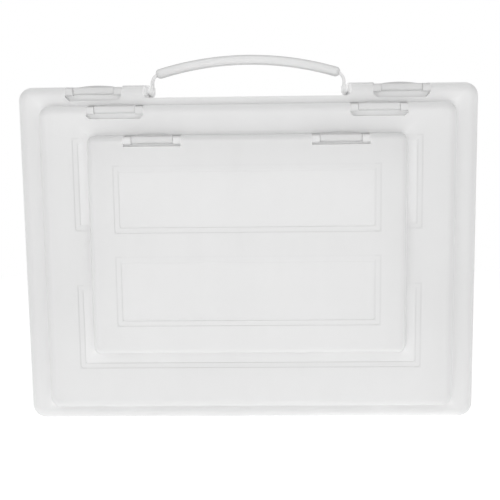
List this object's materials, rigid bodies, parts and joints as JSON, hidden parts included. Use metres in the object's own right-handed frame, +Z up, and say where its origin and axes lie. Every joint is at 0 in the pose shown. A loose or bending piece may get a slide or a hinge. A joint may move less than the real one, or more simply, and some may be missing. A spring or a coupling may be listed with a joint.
{
  "type": "photo keeper case",
  "caption": "Slim milky-plastic carry case with a bail handle; smaller snap-latched print cases sit in a pocket in its hinged lid.",
  "frame": {"origin": "on the standing face, below the middle of the set's width and depth", "axes": "+X to the right when facing the lids, +Y to the back, +Z up towards the handle"},
  "size_m": [0.335, 0.0722, 0.2725],
  "materials": {
    "case_plastic": "milky, fine satin mould texture",
    "latch_plastic": "milky, smooth",
    "handle_plastic": "milky, satin",
    "pin_plastic": "natural white rod"
  },
  "bodies": {
    "large_base": {"large_base_shell": "case_plastic", "large_hinge_pins": "pin_plastic", "handle_pins": "pin_plastic"},
    "handle": {"handle_arch": "handle_plastic", "handle_grip": "handle_plastic"},
    "large_lid": {"large_lid_shell": "case_plastic", "large_latch_pins": "pin_plastic"},
    "large_latch_left": {"large_latch_left": "latch_plastic"},
    "large_latch_right": {"large_latch_right": "latch_plastic"},
    "medium_base": {"medium_base_shell": "case_plastic", "medium_hinge_pins": "pin_plastic"},
    "medium_lid": {"medium_lid_shell": "case_plastic", "medium_latch_pins": "pin_plastic"},
    "medium_latch_left": {"medium_latch_left": "latch_plastic"},
    "medium_latch_right": {"medium_latch_right": "latch_plastic"},
    "small_base": {"small_base_shell": "case_plastic", "small_hinge_pins": "pin_plastic"},
    "small_lid": {"small_lid_shell": "case_plastic", "small_latch_pins": "pin_plastic"},
    "small_latch_left": {"small_latch_left": "latch_plastic"},
    "small_latch_right": {"small_latch_right": "latch_plastic"}
  },
  "joints": [
    {"name": "handle_swing", "type": "hinge", "parent": "large_base", "child": "handle", "pos_m": [0, 0.0231, 0.246], "axis": [1, 0, 0], "range_deg": [-80, 80]},
    {"name": "large_lid_hinge", "type": "hinge", "parent": "large_base", "child": "large_lid", "pos_m": [0, 0.0101, 0.0024], "axis": [1, 0, 0], "range_deg": [0, 110]},
    {"name": "large_latch_left_hinge", "type": "hinge", "parent": "large_lid", "child": "large_latch_left", "pos_m": [-0.1117, -0.0063, 0.2464], "axis": [1, 0, 0], "range_deg": [0, 100]},
    {"name": "large_latch_right_hinge", "type": "hinge", "parent": "large_lid", "child": "large_latch_right", "pos_m": [0.1117, -0.0063, 0.2464], "axis": [1, 0, 0], "range_deg": [0, 100]},
    {"name": "medium_case_pull", "type": "slide", "parent": "large_lid", "child": "medium_base", "axis": [0, -1, 0], "range_m": [0, 0.04]},
    {"name": "medium_lid_hinge", "type": "hinge", "parent": "medium_base", "child": "medium_lid", "pos_m": [0, -0.0131, 0.0149], "axis": [1, 0, 0], "range_deg": [0, 90]},
    {"name": "medium_latch_left_hinge", "type": "hinge", "parent": "medium_lid", "child": "medium_latch_left", "pos_m": [-0.0945, -0.0195, 0.2329], "axis": [1, 0, 0], "range_deg": [0, 100]},
    {"name": "medium_latch_right_hinge", "type": "hinge", "parent": "medium_lid", "child": "medium_latch_right", "pos_m": [0.0945, -0.0195, 0.2329], "axis": [1, 0, 0], "range_deg": [0, 100]},
    {"name": "small_case_pull", "type": "slide", "parent": "medium_lid", "child": "small_base", "axis": [0, -1, 0], "range_m": [0, 0.03]},
    {"name": "small_lid_hinge", "type": "hinge", "parent": "small_base", "child": "small_lid", "pos_m": [0, -0.0271, 0.0596], "axis": [1, 0, 0], "range_deg": [0, 90]},
    {"name": "small_latch_left_hinge", "type": "hinge", "parent": "small_lid", "child": "small_latch_left", "pos_m": [-0.0666, -0.0325, 0.2116], "axis": [1, 0, 0], "range_deg": [0, 100]},
    {"name": "small_latch_right_hinge", "type": "hinge", "parent": "small_lid", "child": "small_latch_right", "pos_m": [0.0666, -0.0325, 0.2116], "axis": [1, 0, 0], "range_deg": [0, 100]}
  ]
}
